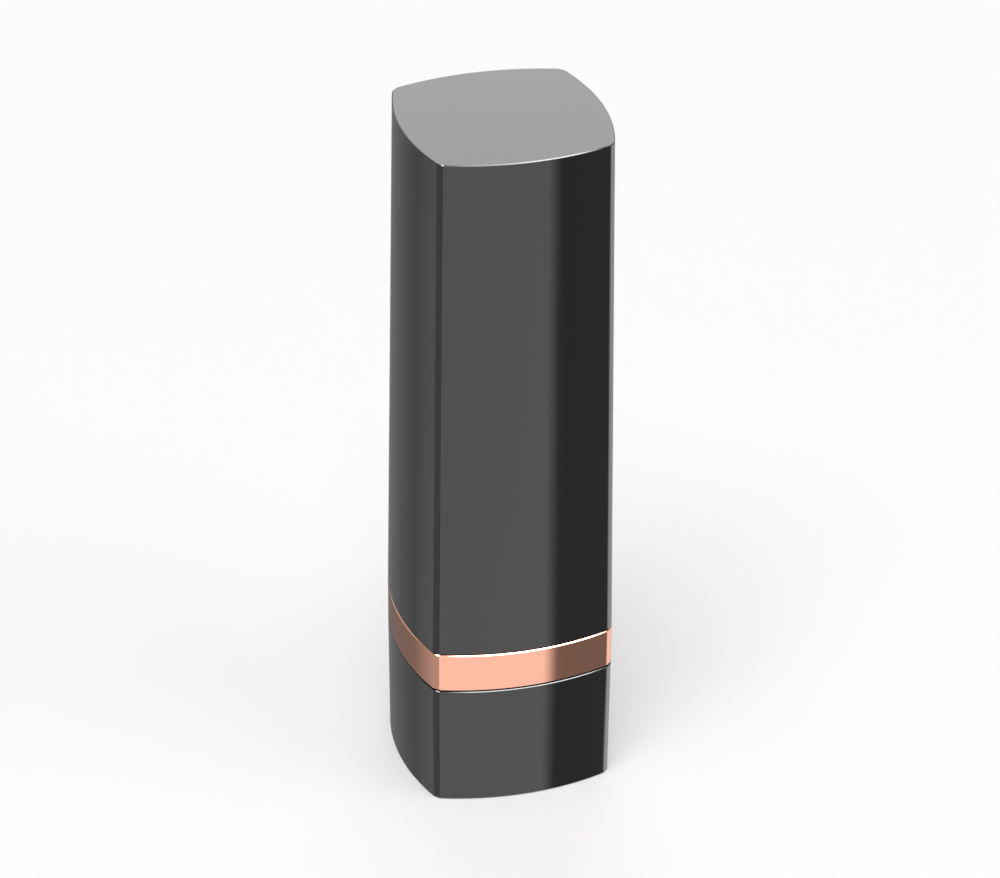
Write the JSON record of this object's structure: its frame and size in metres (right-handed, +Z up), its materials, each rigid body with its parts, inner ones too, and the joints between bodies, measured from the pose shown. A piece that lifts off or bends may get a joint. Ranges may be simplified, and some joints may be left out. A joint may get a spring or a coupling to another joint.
{
  "type": "lipstick case",
  "caption": "Square twist-up lipstick case with bowed sides, a pull-off cap, a metal band and a domed collar with two stepped tubes round a slanted red bullet.",
  "frame": {"origin": "middle of the foot, on the surface that the case stands on", "axes": "+Z up the case's axis towards the cap's top; X and Y through the middles of the bowed sides"},
  "size_m": [0.0228, 0.0228, 0.0755],
  "materials": {
    "black_lacquer": "mirror-gloss black lacquer",
    "rose_gold": "polished rose-gold anodising",
    "plum_disc": "smooth dark plum",
    "steel_weight": "turned",
    "ivory_plastic": "moulded",
    "drag_rubber": "moulded",
    "lip_colour": "satin wax"
  },
  "bodies": {
    "base": {"base_shell": "black_lacquer", "bottom_disc": "plum_disc", "base_weight": "steel_weight", "base_core": "ivory_plastic", "fork_tube": "ivory_plastic", "drag_washer": "drag_rubber"},
    "sleeve": {"collar_band": "rose_gold", "collar": "rose_gold", "upper_tube": "rose_gold", "cam_tube": "ivory_plastic"},
    "carrier": {"cup": "ivory_plastic", "bullet": "lip_colour"},
    "cap": {"cap_shell": "black_lacquer", "cap_liner": "ivory_plastic"}
  },
  "joints": [
    {"name": "twist", "type": "hinge", "parent": "base", "child": "sleeve", "pos_m": [0, 0, 0.0139], "axis": [0, 0, -1], "range_deg": [0, 450]},
    {"name": "bullet_rise", "type": "slide", "parent": "base", "child": "carrier", "axis": [0, 0, 1], "range_m": [0, 0.018]},
    {"name": "cap_lift", "type": "slide", "parent": "sleeve", "child": "cap", "axis": [0, 0, 1], "range_m": [0, 0.06]}
  ],
  "couplings": [
    {"joint": "bullet_rise", "follows": "twist", "m_per_rad": 0.0022918}
  ]
}
